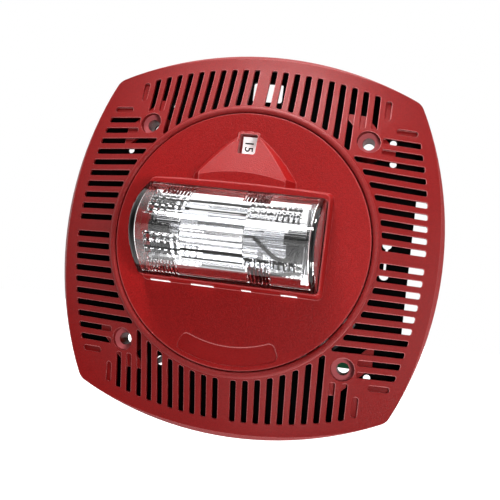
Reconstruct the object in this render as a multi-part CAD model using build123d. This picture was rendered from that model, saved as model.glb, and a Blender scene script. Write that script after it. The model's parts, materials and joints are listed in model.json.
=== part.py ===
from build123d import *
import os
from math import cos, pi, radians, sin, tan

# Wall-mounted speaker strobe for a fire alarm system: a square slotted grille with a round strobe
# housing in its middle, over a small loudspeaker that sits in the wall box.
#
# Every piece is modelled lying on its back: x to the right, y up the wall, z out of the wall, with
# z = 0 on the wall. save() then stands it up, so that the finished part faces -Y with +Z up.

# ---------------------------------------------------------------- driving dimensions (mm)
# fasteners: shank radius, head radius, head height
COVER_SCREW = (1.2, 2.4, 1.5)
BOARD_SCREW = (1.2, 2.3, 1.3)
FRAME_SCREW = (1.35, 2.6, 1.6)
SPEAKER_SCREW = (1.45, 2.7, 1.6)
CLAMP_SCREW = (1.3, 1.7, 1.5)
NUT_H = 1.8

# grille plate
PLATE_HALF = 83.15
PLATE_SIDE_R = 151.0
PLATE_CORNER_R = 6.5
PLATE_WALL = 2.4
PLATE_SKIN = 1.6
EDGE_H = 6.5
BEVEL_DEG = 35.0
FACE_REF = 21.0
DOME_CROWN = 19.25
DOME_FALL = 40.2
DOME_EASE = 11.85
DOME_R = 75.0
DOME_FROM_R = 50.0
DOME_TO_R = 105.0
DOME_STEP = 5.0
OPENING_R = 53.85
BEAD_R = 54.9
BEAD_OUTER_R = 56.4
BEAD_Z = 23.3
BEAD_ROUND = 0.7
COLLAR_BOTTOM_Z = 13.0

# slots
SLOT_PITCH = 5.0
SLOT_FIRST = 3.785
SLOT_COUNT = 10
SLOT_W = 2.5
SLOT_INNER_R = 57.35
SLOT_OUTER_X = 75.5
SLOT_OUTER_R = 186.0
SLOT_CORNER_R = 0.75
SHORT_SLOTS_FROM = 8
SHORT_SLOT_X = 53.0
GROOVE_L = 8.9
GROOVE_X = 62.6
GROOVE_DEPTH = 1.1
SKIN = 1.4
PAD_T = 2.6
PAD_LEFT = 36.3
PAD_TOP = 59.0
PAD_RIGHT = 58.7
PAD_BOTTOM = 41.3
PAD_OUTER_CUT = 104.0
PAD_INNER_CUT = 93.9

# corner screw bosses of the plate
SCREW_AT = 47.25
BOSS_R = 6.4
BORE_R = 4.875
BORE_FLOOR_Z = 11.0
SCREW_HOLE_R = 2.6

# mounting frame
FRAME_INSET = 3.0
FRAME_LOW_Z = 0.3
FRAME_TOP_Z = 2.0
FRAME_LIP_TOP_Z = 5.0
FRAME_LIP_T = 1.6
FRAME_GAP = 0.6
FRAME_HOLE_R = 44.0
SIDE_GAP_X = 69.7
SIDE_GAP_LOW_Y = -31.0
SIDE_GAP_HIGH_Y = 28.0
FRAME_WINDOW_AT = (0.1, 68.5)
FRAME_WINDOW_W = 13.4
FRAME_WINDOW_H = 8.6
PEEP_R = 1.5
PEEPS = ((58.3, 41.5), (57.4, 50.6), (57.4, -50.6), (-59.6, 37.2), (-41.0, 59.2))
KEYHOLE_X = 59.7
KEYHOLE_Y = 6.6
KEYHOLE_R = 2.0
KEYHOLE_W = 1.0

# strobe housing
DISC_R = 53.4
FACE_Z = 23.25
HOUSING_SKIN = 2.5
CUP_BOTTOM_Z = 12.0
CUP_WALL = 2.4
COVER_POST_R = 3.0
ASSEMBLY_X = -1.3
LENS_X = -1.55
PED_HALF_X = 37.95
PED_TOP_HALF_X = 37.05
PED_LOW_Y = -20.5
PED_HIGH_Y = 23.1
PED_TOP_LOW_Y = -19.0
PED_TOP_HIGH_Y = 21.3
PED_BOW = 1.0
PED_TOP_Z = 33.0
PED_CORNER_R = 2.6
LENS_HALF_X = 36.25
LENS_LOW_Y = -18.1
LENS_HIGH_Y = 18.9
LENS_FIT = 0.15
LENS_CORNER_R = 1.6
LENS_SEAT_Z = 29.6
CAVITY_INSET = 2.6
LEDGE_W = 6.0
LEDGE_T = 2.0
LEDGE_TOP_Z = 33.0
LEDGE_CLEAR = 0.4

# fairing over the lens, its window and the plaque
FAIRING_HALF_W = 21.8
FAIRING_BASE_Y = 20.0
FAIRING_SPRING_Y = 25.8
FAIRING_TIP_Y = 46.6
FAIRING_MID = (13.1, 36.5)
FAIRING_TIP_R = 4.0
FAIRING_TOP_Z = 30.6
FAIRING_LEAN = 3.9
RAMP_CENTRE_Y = -38.8
RAMP_TOP_R = 66.0
RAMP_BOTTOM_R = 84.8
WINDOW_X = -1.5
WINDOW_Y = 39.8
WINDOW_W = 7.3
WINDOW_H = 9.0
WINDOW_R = 0.9
WINDOW_RIM_T = 0.9
WINDOW_RIM_H = 0.3
PLAQUE_R = 47.55
PLAQUE_W = 7.5
PLAQUE_HALF_DEG = 25.0
PLAQUE_DEPTH = 0.5
PLAQUE_CORNER_R = 2.4

# lens
LENS_SKIRT_Z = 37.4
LENS_APEX_Z = 58.0
LENS_T = 2.0
LENS_DRAFT = 0.044
LENS_EDGE_R = 1.2
GASKET_T = 1.2

# reflector and flash tube
REFLECTOR_HALF_X = 30.6
REFLECTOR_HALF_Y = 13.4
REFLECTOR_Y = 0.8
REFLECTOR_FLOOR_Z = 36.0
REFLECTOR_RIM_Z = 42.0
REFLECTOR_T = 1.0
REFLECTOR_FACETS = 6
REFLECTOR_FOOT_R = 1.6
REFLECTOR_FOOT_INSET = 6.0
BRIM_TO_X = 32.1
BRIM_LOW_Y = -14.5
BRIM_HIGH_Y = 15.5
BRIM_Z = 36.2
TUBE_Z = 41.5
TUBE_R = 1.8
TUBE_BORE_R = 1.2
TUBE_FROM_X = -29.0
TUBE_TO_X = 24.5
BOOT_R = 2.3
BOOT_L = 8.0
BOOT_IN = 4.0
BOOT_OUT = 1.2
TRIGGER_R = 0.55
TRIGGER_BEND_R = 1.2
TRIGGER_FOOT = (25.0, -3.8)

# strobe electronics
BOARD_T = 1.6
HEADER_H = 5.4
STROBE_BOARD_Z = 13.6
STROBE_BOARD_R = 49.5
STROBE_BOARD_TOP_Y = 33.0
STROBE_BOARD_LOW_Y = -42.0
REAR_COVER_T = 1.5
REAR_COVER_SCREW_R = 47.6
FLASH_CAP_R = 6.2
FLASH_CAP_L = 32.0
TRIGGER_COIL_AT = (16.5, -9.0)

# brightness selector
CELLS = 4
CELL_W = 6.0
SELECTOR_TRAVEL = CELL_W * (CELLS - 1)
CARRIER_T = 1.6
CARRIER_H = 8.8
CARRIER_Z = 18.6
LABEL_T = 0.15
ARM_T = 1.2
ARM_HALF_W = 2.2
RAIL_T = 1.2
RAIL_GAP = 0.3
WIPER_X = 7.5
WIPER_Y = 29.8

# bridge that holds the strobe cup over the loudspeaker
BRIDGE_T = 1.5
BRIDGE_R = 51.0
BRIDGE_HOLE_R = 45.0
LEG_R = 55.2
LEG_SCREW_R = 54.4
LEG_T = 1.6
LEG_REACH = 3.4
DRIVER_HOLE_R = 4.0
LEG_W = 9.0

# loudspeaker
FLANGE_R = 51.5
FLANGE_T = 1.0
BASKET_R = 43.3
BASKET_DEPTH = 18.6
BASKET_T = 0.9
BASKET_WINDOWS = 6
SPEAKER_SCREW_R = 47.6
SURROUND_IN_R = 36.0
SURROUND_OUT_R = 43.6
SURROUND_ROLL_H = 2.6
CONE_T = 0.5
CONE_TOP_Z = 1.4
CONE_BOTTOM_Z = -13.0
CONE_NECK_R = 10.2
COIL_R = 9.6
COIL_T = 0.35
GAP_CLEAR = 0.5
FORMER_BOTTOM_Z = -23.6
SPIDER_OUT_R = 17.6
SPIDER_Z = -16.0
TOP_PLATE_R = 19.5
TOP_PLATE_T = 3.0
MAGNET_R = 22.5
MAGNET_T = 8.0
BACK_PLATE_T = 3.0
MAGNET_BORE_R = 12.0

# audio board behind the frame
AUDIO_BOARD_Z = -24.0
AUDIO_HALF_X = 51.0
AUDIO_LOW_Y = -50.0
AUDIO_HIGH_Y = -24.5
PILLAR_AT = ((30.0, -46.5), (47.5, -29.0))
PILLAR_R = 2.5
HARNESS_R = 1.1
HARNESS_HOLE = (-33.0, -55.5)
STRIP_DEG = 300.0
KNOB_AT = (4.0, -33.0)
KNOB_R = 5.0
VOLT_AT = (17.0, -31.0)
VOLT_TRAVEL = 3.0


# ---------------------------------------------------------------- helpers
def save(name, *pieces):
    """Stand the pieces up, facing -Y, and write them as one node."""
    stood = [Rot(90, 0, 0) * solid for piece in pieces for solid in piece.solids()]
    export_step(Compound(children=stood, label=name), f"parts/{name}.step")


def up(sketch, z_low, z_high):
    """Extrude a flat sketch from z_low to z_high."""
    return extrude(Pos(0, 0, z_low) * sketch, z_high - z_low)


def box(x_low, x_high, y_low, y_high, z_low, z_high):
    centre = Pos((x_low + x_high) / 2, (y_low + y_high) / 2, (z_low + z_high) / 2)
    return centre * Box(x_high - x_low, y_high - y_low, z_high - z_low)


def rod(radius, x, y, z_low, z_high):
    """A cylinder along z."""
    return Pos(x, y, (z_low + z_high) / 2) * Cylinder(radius, z_high - z_low)


def tube(r_out, r_in, x, y, z_low, z_high):
    return rod(r_out, x, y, z_low, z_high) - rod(r_in, x, y, z_low, z_high)


def rod_x(radius, x_low, x_high, y, z):
    """A cylinder along x."""
    return Pos((x_low + x_high) / 2, y, z) * Rot(0, 90, 0) * Cylinder(radius, x_high - x_low)


def around(count, radius, start_deg=0.0):
    """Points evenly spaced on a circle."""
    angles = [radians(start_deg + i * 360 / count) for i in range(count)]
    return [(radius * cos(a), radius * sin(a)) for a in angles]


def four_ways(shape):
    """The shape at 0, 90, 180 and 270 degrees about z."""
    return [Rot(0, 0, quarter * 90) * shape for quarter in range(4)]


def turned(points):
    """A solid of revolution about z from (radius, z) corners."""
    return revolve(make_face(Plane.XZ * Polyline(*points, close=True)), Axis.Z, 360)


def pan_screw(x, y, head_z, tip_z, shank_r, head_r, head_h):
    """A cross-head screw: head at head_z, shank to tip_z, on either side of the sheet it holds."""
    out = 1 if head_z > tip_z else -1
    low, high = sorted((head_z, tip_z))
    screw = rod(shank_r, x, y, low, high)
    head_low, head_high = sorted((head_z, head_z + out * head_h))
    screw += rod(head_r, x, y, head_low, head_high)
    slot_low, slot_high = sorted((head_z + out * head_h * 0.4, head_z + out * (head_h + 0.1)))
    arm = head_r * 0.62
    blade = head_r * 0.14
    screw -= box(x - arm, x + arm, y - blade, y + blade, slot_low, slot_high)
    screw -= box(x - blade, x + blade, y - arm, y + arm, slot_low, slot_high)
    return screw


# ---------------------------------------------------------------- grille plate
def dome_z(radius):
    share = (radius / DOME_R) ** 2
    return FACE_REF + DOME_CROWN - DOME_FALL * share + DOME_EASE * share**2


def dome(drop=0.0):
    """Everything under the grille's flared face, lowered by drop."""
    steps = int((DOME_TO_R - DOME_FROM_R) / DOME_STEP) + 1
    radii = [DOME_FROM_R + i * DOME_STEP for i in range(steps)]
    flare = Spline([(r, dome_z(r) - drop) for r in radii])
    floor = -5.0
    top = dome_z(DOME_FROM_R) - drop
    sides = Polyline(flare @ 1, (DOME_TO_R, floor), (0, floor), (0, top), flare @ 0)
    return revolve(make_face(Plane.XZ * (flare + sides)), Axis.Z, 360)


def plate_outline(inset=0.0):
    """Four shallow arcs that meet in small round corners."""
    centre = PLATE_SIDE_R - PLATE_HALF
    side = Circle(PLATE_SIDE_R - inset)
    across = Pos(-centre, 0) * side & Pos(centre, 0) * side
    shape = across & Pos(0, -centre) * side & Pos(0, centre) * side
    return fillet(shape.vertices(), PLATE_CORNER_R - inset)


def slot_sketch():
    """The ten slots on each half of the right-hand side."""
    bars = []
    for k in range(SLOT_COUNT):
        for way in (-1, 1):
            y = way * (SLOT_FIRST + k * SLOT_PITCH)
            start = SHORT_SLOT_X if k >= SHORT_SLOTS_FROM else 0.0
            bars.append(Pos((start + DOME_R * 1.2) / 2, y) * Rectangle(DOME_R * 1.2 - start, SLOT_W))
    limit = Pos(SLOT_OUTER_X - SLOT_OUTER_R, 0) * Circle(SLOT_OUTER_R)
    slots = Sketch() + bars
    slots = (slots & limit) - Circle(SLOT_INNER_R)
    return fillet(slots.vertices(), SLOT_CORNER_R)


def groove_sketch():
    """The two blind grooves beside the slots of the right-hand side."""
    y = SLOT_FIRST + SLOT_COUNT * SLOT_PITCH
    return Sketch() + [Pos(GROOVE_X, way * y) * SlotOverall(GROOVE_L, SLOT_W) for way in (-1, 1)]


def pad_sketch():
    """The stiffening pad behind the upper right screw boss."""
    return make_face(Polyline(
        (PAD_LEFT, PAD_TOP),
        (PAD_OUTER_CUT - PAD_TOP, PAD_TOP),
        (PAD_RIGHT, PAD_OUTER_CUT - PAD_RIGHT),
        (PAD_RIGHT, PAD_BOTTOM),
        (PAD_BOTTOM + 1.7, PAD_BOTTOM),
        (PAD_BOTTOM + 1.7, PAD_INNER_CUT - PAD_BOTTOM - 1.7),
        (PAD_LEFT, PAD_INNER_CUT - PAD_LEFT),
        close=True,
    ))


def bead():
    """The raised round collar that the strobe housing stands in."""
    inner_edge = (OPENING_R, BEAD_Z - BEAD_ROUND)
    outer_edge = (BEAD_OUTER_R, dome_z(BEAD_OUTER_R))
    crest = ThreePointArc(inner_edge, (BEAD_R, BEAD_Z), outer_edge)
    wall = Polyline(
        crest @ 1,
        (BEAD_OUTER_R, COLLAR_BOTTOM_Z),
        (OPENING_R, COLLAR_BOTTOM_Z),
        crest @ 0,
    )
    return revolve(make_face(Plane.XZ * (crest + wall)), Axis.Z, 360)


def grille_plate():
    outer = up(plate_outline(), 0, EDGE_H)
    outer += extrude(Pos(0, 0, EDGE_H) * plate_outline(), FACE_REF, taper=BEVEL_DEG)
    outer &= dome()
    inner = up(plate_outline(PLATE_WALL), -1, FACE_REF) & dome(PLATE_SKIN)
    plate = outer - inner - rod(OPENING_R + 1, 0, 0, -1, FACE_REF * 2)
    plate += bead()
    slots = Part() + [up(cut, -1, FACE_REF * 2) for cut in four_ways(slot_sketch())]
    plate -= slots
    grooves = Part() + [up(cut, 0, FACE_REF * 2) for cut in four_ways(groove_sketch())]
    plate -= grooves - dome(GROOVE_DEPTH)
    pads = Part() + [up(pad, 0, FACE_REF * 2) for pad in four_ways(pad_sketch())]
    plate += (pads & dome(SKIN)) - dome(SKIN + PAD_T)
    corner = rod(BOSS_R, SCREW_AT, SCREW_AT, FRAME_TOP_Z, FACE_REF * 2)
    plate += (Part() + four_ways(corner)) & dome(SKIN)
    counterbore = rod(BORE_R, SCREW_AT, SCREW_AT, BORE_FLOOR_Z, FACE_REF * 2)
    hole = rod(SCREW_HOLE_R, SCREW_AT, SCREW_AT, -1, FACE_REF)
    plate -= Part() + four_ways(counterbore) + four_ways(hole)
    save("grille_plate", plate)


# ---------------------------------------------------------------- strobe housing
def pedestal_face(half_x, y_low, y_high, z):
    """A rounded rectangle whose upper side bows out."""
    left = LENS_X - half_x
    right = LENS_X + half_x
    crown = ThreePointArc((right, y_high), (LENS_X, y_high + PED_BOW), (left, y_high))
    rest = Polyline(crown @ 1, (left, y_low), (right, y_low), crown @ 0)
    face = make_face(crown + rest)
    return Pos(0, 0, z) * fillet(face.vertices(), PED_CORNER_R)


def pedestal():
    foot = pedestal_face(PED_HALF_X, PED_LOW_Y, PED_HIGH_Y, FACE_Z - 0.5)
    head = pedestal_face(PED_TOP_HALF_X, PED_TOP_LOW_Y, PED_TOP_HIGH_Y, PED_TOP_Z)
    block = loft([foot, head])
    rim = block.edges().group_by(Axis.Z)[-1]
    return fillet(rim, 0.5)


def fairing_sketch(inset=0.0):
    """A pointed arch that springs from the pedestal."""
    half_w = FAIRING_HALF_W - inset
    tip = (0, FAIRING_TIP_Y - inset)
    mid_x, mid_y = FAIRING_MID
    right = ThreePointArc((half_w, FAIRING_SPRING_Y), (mid_x - inset, mid_y - inset / 2), tip)
    left = ThreePointArc(tip, (inset - mid_x, mid_y - inset / 2), (-half_w, FAIRING_SPRING_Y))
    base = Polyline(left @ 1, (-half_w, FAIRING_BASE_Y), (half_w, FAIRING_BASE_Y), right @ 0)
    face = make_face(right + left + base)
    point = face.vertices().sort_by(Axis.Y)[-1]
    return Pos(ASSEMBLY_X, 0) * fillet(point, FAIRING_TIP_R)


def fairing():
    """The arch raised with leaning sides, under its sloping top."""
    foot = Pos(0, 0, FACE_Z - 0.5) * fairing_sketch()
    head = Pos(0, 0, FAIRING_TOP_Z) * fairing_sketch(FAIRING_LEAN)
    return loft([foot, head]) & ramp()


def ramp(drop=0.0):
    """The cone that slopes the fairing's top down to its tip."""
    height = FAIRING_TOP_Z - FACE_Z
    slope = Cone(RAMP_BOTTOM_R, RAMP_TOP_R, height)
    base = Cylinder(RAMP_BOTTOM_R, FACE_Z)
    low = Pos(ASSEMBLY_X, RAMP_CENTRE_Y, FACE_Z / 2 - drop) * base
    high = Pos(ASSEMBLY_X, RAMP_CENTRE_Y, (FACE_Z + FAIRING_TOP_Z) / 2 - drop) * slope
    return low + high


def plaque_sketch():
    ring = Circle(PLAQUE_R + PLAQUE_W / 2) - Circle(PLAQUE_R - PLAQUE_W / 2)
    reach = DISC_R * 1.5
    side = reach * tan(radians(PLAQUE_HALF_DEG))
    wedge = make_face(Polyline((0, 0), (-side, -reach), (side, -reach), close=True))
    pill = ring & wedge
    return fillet(pill.vertices(), PLAQUE_CORNER_R)


def lens_opening(grow, corner=LENS_CORNER_R):
    """The lens's footprint, grown or shrunk."""
    width = 2 * (LENS_HALF_X + grow)
    height = LENS_HIGH_Y - LENS_LOW_Y + 2 * grow
    return Pos(LENS_X, (LENS_HIGH_Y + LENS_LOW_Y) / 2) * RectangleRounded(width, height, corner)


def window_sketch(grow=0.0):
    return Pos(WINDOW_X, WINDOW_Y) * RectangleRounded(WINDOW_W + 2 * grow, WINDOW_H + 2 * grow, WINDOW_R)


def cover_screw_points():
    return around(4, REAR_COVER_SCREW_R, 45)


def strobe_housing():
    body = rod(DISC_R, 0, 0, CUP_BOTTOM_Z, FACE_Z)
    rim = body.edges().group_by(Axis.Z)[-1]
    body = fillet(rim, 0.4)
    body += pedestal()
    body += fairing()
    under = FACE_Z - HOUSING_SKIN
    body -= rod(DISC_R - CUP_WALL, 0, 0, CUP_BOTTOM_Z - 1, under)
    body -= up(lens_opening(-LEDGE_W), under - 1, PED_TOP_Z + 1)
    body -= up(lens_opening(-CAVITY_INSET), under - 1, LENS_SEAT_Z - LEDGE_T)
    body -= up(lens_opening(LENS_FIT), LENS_SEAT_Z, PED_TOP_Z + 1)
    step = lens_opening(-LENS_T - LEDGE_CLEAR) - lens_opening(-LEDGE_W)
    body += up(step, LENS_SEAT_Z - LEDGE_T, LEDGE_TOP_Z)
    hollow = up(fairing_sketch(HOUSING_SKIN + FAIRING_LEAN), under - 1, FAIRING_TOP_Z - HOUSING_SKIN)
    body -= (hollow & ramp(HOUSING_SKIN)) - up(pedestal_keepout(), under - 1, PED_TOP_Z)
    chimney = up(window_sketch(WINDOW_RIM_T), CARRIER_Z + CARRIER_T + 0.6, FACE_Z + 2)
    body += chimney & ramp(-WINDOW_RIM_H)
    body -= up(window_sketch(), CARRIER_Z, PED_TOP_Z)
    body -= up(plaque_sketch(), FACE_Z - PLAQUE_DEPTH, FACE_Z + 1)
    body += selector_guides()
    for x, y in cover_screw_points():
        post = rod(COVER_POST_R, x, y, CUP_BOTTOM_Z, under + 0.5)
        body += post & rod(DISC_R - 1, 0, 0, 0, FACE_Z)
        body -= rod(COVER_SCREW[0], x, y, CUP_BOTTOM_Z - 1, under - 1)
    save("strobe_housing", body)


def pedestal_keepout():
    """Where the pedestal's own wall stays solid under the fairing."""
    return Pos(LENS_X, 0) * Rectangle(4 * PED_HALF_X, 2 * (LENS_HIGH_Y + CAVITY_INSET))


def selector_guides():
    """Two rails under the face that the selector's carrier slides between."""
    rails = Part()
    reach = 22.0
    gap = CARRIER_H / 2 + RAIL_GAP
    for way in (-1, 1):
        near, far = sorted((WINDOW_Y + way * gap, WINDOW_Y + way * (gap + RAIL_T)))
        rails += box(-reach, reach, near, far, CARRIER_Z - 1.3, FACE_Z - 1)
        lip_near, lip_far = sorted((WINDOW_Y + way * (gap - 1.4), WINDOW_Y + way * (gap + 0.5)))
        lips = box(-reach, reach, lip_near, lip_far, CARRIER_Z - 1.3, CARRIER_Z - 0.3)
        rails += lips
    arm_left = WIPER_X - SELECTOR_TRAVEL - ARM_HALF_W - RAIL_GAP
    arm_right = WIPER_X + ARM_HALF_W + RAIL_GAP
    cut_low_y = WINDOW_Y - gap - RAIL_T - 1
    cut_high_z = CARRIER_Z + ARM_T + RAIL_GAP
    rails -= box(arm_left, arm_right, cut_low_y, WINDOW_Y, CARRIER_Z - 2, cut_high_z)
    return rails & rod(DISC_R - 1, 0, 0, 0, FACE_Z)


def rear_cover():
    low = CUP_BOTTOM_Z - REAR_COVER_T
    cover = rod(DISC_R - 1.0, 0, 0, low, CUP_BOTTOM_Z)
    for x, y in cover_screw_points():
        cover -= rod(1.6, x, y, low - 1, CUP_BOTTOM_Z + 1)
    for x, y in spacer_points():
        cover -= rod(1.3, x, y, low - 1, CUP_BOTTOM_Z + 1)
    cover -= box(-9, 9, -34, -28, low - 1, CUP_BOTTOM_Z + 1)
    reach = SELECTOR_TRAVEL / 2 + 3
    cover -= box(-reach - 1.6, reach - 1.6, WINDOW_Y - 2, WINDOW_Y + 2, low - 1, CUP_BOTTOM_Z + 1)
    save("rear_cover", cover)


def cover_screws():
    head_z = CUP_BOTTOM_Z - REAR_COVER_T - BRIDGE_T
    tip_z = FACE_Z - HOUSING_SKIN - 2
    screws = [pan_screw(x, y, head_z, tip_z, *COVER_SCREW) for x, y in cover_screw_points()]
    save("cover_screws", *screws)


# ---------------------------------------------------------------- lens, reflector, flash tube
def lens_body(inset, z_low, corner):
    """The arched block that the lens's outside, or its hollow, has."""
    mid_y = (LENS_HIGH_Y + LENS_LOW_Y) / 2
    half_y = (LENS_HIGH_Y - LENS_LOW_Y) / 2 - inset
    half_x = LENS_HALF_X - inset
    apex = LENS_APEX_Z - inset
    control_z = 2 * apex - LENS_SKIRT_Z
    arch = Bezier((mid_y - half_y, LENS_SKIRT_Z), (mid_y, control_z), (mid_y + half_y, LENS_SKIRT_Z))
    skirt = Polyline(arch @ 1, (mid_y + half_y, z_low), (mid_y - half_y, z_low), arch @ 0)
    section = make_face(Plane.YZ * (arch + skirt))
    barrel = Pos(LENS_X, 0, 0) * extrude(section, half_x * 1.2, both=True)
    lean = LENS_DRAFT * (LENS_APEX_Z - z_low)
    side = Polyline(
        (LENS_X - half_x, z_low - 1),
        (LENS_X + half_x, z_low - 1),
        (LENS_X + half_x - lean, LENS_APEX_Z + 1),
        (LENS_X - half_x + lean, LENS_APEX_Z + 1),
        close=True,
    )
    ends = Pos(0, mid_y, 0) * extrude(make_face(Plane.XZ * side), half_y * 1.5, both=True)
    block = barrel & ends
    at_ends = [e for e in block.edges() if abs(abs(e.center().X - LENS_X) - half_x) < 2.0]
    raised = [e for e in at_ends if e.center().Z > z_low + 1]
    return fillet(raised, corner)


def strobe_lens():
    seat = LENS_SEAT_Z + GASKET_T
    lens = lens_body(0, seat, LENS_EDGE_R)
    lens -= lens_body(LENS_T, seat - 1, LENS_EDGE_R / 2)
    save("strobe_lens", lens)


def lens_gasket():
    ring = lens_opening(-0.2) - lens_opening(-LENS_T)
    save("lens_gasket", up(ring, LENS_SEAT_Z, LENS_SEAT_Z + GASKET_T))


def trough_line(lift):
    """The reflector's section: straight facets along a parabola."""
    points = []
    for i in range(-REFLECTOR_FACETS, REFLECTOR_FACETS + 1):
        share = i / REFLECTOR_FACETS
        rise = (REFLECTOR_RIM_Z - REFLECTOR_FLOOR_Z) * share**2
        points.append((REFLECTOR_Y + REFLECTOR_HALF_Y * share, REFLECTOR_FLOOR_Z + rise + lift))
    return points


def reflector():
    """The trough with its end walls and feet, and a brim beyond its right end."""
    outline = trough_line(0) + list(reversed(trough_line(-REFLECTOR_T)))
    section = make_face(Plane.YZ * Polyline(*outline, close=True))
    trough = Pos(ASSEMBLY_X, 0, 0) * extrude(section, REFLECTOR_HALF_X, both=True)
    wall_face = make_face(Plane.YZ * Polyline(*trough_line(-REFLECTOR_T), close=True))
    for way in (-1, 1):
        x_wall = ASSEMBLY_X + way * (REFLECTOR_HALF_X - REFLECTOR_T / 2)
        trough += Pos(x_wall, 0, 0) * extrude(wall_face, REFLECTOR_T / 2, both=True)
        x_foot = ASSEMBLY_X + way * (REFLECTOR_HALF_X - REFLECTOR_FOOT_INSET)
        foot_top = REFLECTOR_FLOOR_Z - REFLECTOR_T / 2
        trough += rod(REFLECTOR_FOOT_R, x_foot, REFLECTOR_Y, STROBE_BOARD_Z + BOARD_T, foot_top)
    left = ASSEMBLY_X + REFLECTOR_HALF_X - REFLECTOR_T
    top = BRIM_Z + REFLECTOR_T
    trough += box(left, BRIM_TO_X, BRIM_LOW_Y, BRIM_HIGH_Y, BRIM_Z, top)
    for x in (TUBE_FROM_X, TUBE_TO_X):
        trough -= rod_x(BOOT_R + 0.05, x - BOOT_L, x + BOOT_L, REFLECTOR_Y, TUBE_Z) & end_zone(x)
    trough -= rod(TRIGGER_R + 0.1, *TRIGGER_FOOT, STROBE_BOARD_Z, REFLECTOR_RIM_Z)
    save("reflector", trough)


def end_zone(x):
    """The space around one end wall of the reflector."""
    way = -1 if x < 0 else 1
    wall_x = ASSEMBLY_X + way * REFLECTOR_HALF_X
    return Pos(wall_x, REFLECTOR_Y, TUBE_Z) * Box(4 * REFLECTOR_T, 20, 20)


def flash_tube():
    glass = rod_x(TUBE_R, TUBE_FROM_X, TUBE_TO_X, REFLECTOR_Y, TUBE_Z)
    bore = rod_x(TUBE_BORE_R, TUBE_FROM_X + 2, TUBE_TO_X - 2, REFLECTOR_Y, TUBE_Z)
    save("flash_tube", glass - bore)


def tube_boots():
    """The two sleeves over the tube's ends, which pass through the reflector's end walls."""
    boots = []
    for x, way in ((TUBE_FROM_X, -1), (TUBE_TO_X, 1)):
        near, far = sorted((x - way * BOOT_IN, ASSEMBLY_X + way * (REFLECTOR_HALF_X + BOOT_OUT)))
        sleeve = rod_x(BOOT_R, near, far, REFLECTOR_Y, TUBE_Z)
        socket_near, socket_far = sorted((x, x - way * BOOT_L))
        boots.append(sleeve - rod_x(TUBE_R, socket_near, socket_far, REFLECTOR_Y, TUBE_Z))
    save("tube_boots", *boots)


def trigger_lead():
    """The insulated lead from the tube's side down through the reflector to the trigger coil."""
    tube_top = TUBE_Z + TUBE_R
    points = [
        (9.2, REFLECTOR_Y, tube_top + TRIGGER_R),
        (13.7, -3.2, tube_top),
        (17.4, -6.1, tube_top - 0.6),
        (20.7, -7.0, tube_top - 0.9),
        (24.2, -6.1, tube_top - 1.2),
        (*TRIGGER_FOOT, TUBE_Z),
        (*TRIGGER_FOOT, STROBE_BOARD_Z + BOARD_T),
    ]
    save("trigger_lead", wire(points, TRIGGER_R, TRIGGER_BEND_R))


# ---------------------------------------------------------------- strobe electronics
def strobe_board():
    disc = Circle(STROBE_BOARD_R)
    height = STROBE_BOARD_TOP_Y - STROBE_BOARD_LOW_Y
    keep = Pos(0, (STROBE_BOARD_TOP_Y + STROBE_BOARD_LOW_Y) / 2) * Rectangle(3 * STROBE_BOARD_R, height)
    shape = disc & keep
    for x, y in cover_screw_points():
        shape -= Pos(x, y) * Circle(COVER_POST_R + 0.4)
    for x, y in spacer_points():
        shape -= Pos(x, y) * Circle(1.3)
    save("strobe_board", up(shape, STROBE_BOARD_Z, STROBE_BOARD_Z + BOARD_T))


def spacer_points():
    return [(x, y) for x, y in around(4, STROBE_BOARD_R - 12, 0) if y < STROBE_BOARD_TOP_Y]


def board_rests():
    """Spacers between the rear cover and the strobe board."""
    spacers = [tube(2.6, 1.3, x, y, CUP_BOTTOM_Z, STROBE_BOARD_Z) for x, y in spacer_points()]
    save("board_spacers", *spacers)


def flash_capacitor():
    """A lying can with a rubber end plug and a crimped neck."""
    y = -4.0
    z = STROBE_BOARD_Z + BOARD_T + FLASH_CAP_R
    can = rod_x(FLASH_CAP_R, -22, -22 + FLASH_CAP_L, y, z)
    neck = rod_x(FLASH_CAP_R + 1, -19.6, -18.8, y, z) - rod_x(FLASH_CAP_R - 0.5, -20, -18, y, z)
    save("flash_capacitor", can - neck)


def trigger_transformer():
    top = STROBE_BOARD_Z + BOARD_T
    x, y = TRIGGER_COIL_AT
    coil = rod(4.0, x, y, top, top + 10)
    flange = rod(4.8, x, y, top, top + 1) + rod(4.8, x, y, top + 9, top + 10)
    save("trigger_transformer", coil + flange)


def inductor():
    top = STROBE_BOARD_Z + BOARD_T
    ring = tube(6.0, 2.6, 19.0, 8.5, top, top + 5)
    save("inductor", fillet(ring.edges().filter_by(GeomType.CIRCLE), 0.8))


def power_transistor():
    top = STROBE_BOARD_Z + BOARD_T
    tab = box(-34, -24, 6, 10.4, top, top + 1.2)
    body = box(-34, -24, 6.4, 10.4, top + 1.2, top + 4.6) + tab
    save("power_transistor", body)


def strobe_chips():
    """Small surface-mounted components on the strobe board."""
    top = STROBE_BOARD_Z + BOARD_T
    chips = []
    for row in range(3):
        for column in range(5):
            x = -18 + column * 6.5
            y = -18 - row * 5.0
            chips.append(box(x - 1.5, x + 1.5, y - 0.8, y + 0.8, top, top + 0.9))
    chips.append(box(18, 26, -26, -21, top, top + 1.6))
    save("strobe_chips", *chips)


def strobe_header():
    """The plug on the rear of the strobe board that the harness joins."""
    low = STROBE_BOARD_Z - HEADER_H
    save("strobe_header", box(-7, 7, -33.4, -28.6, low, STROBE_BOARD_Z))


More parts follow.
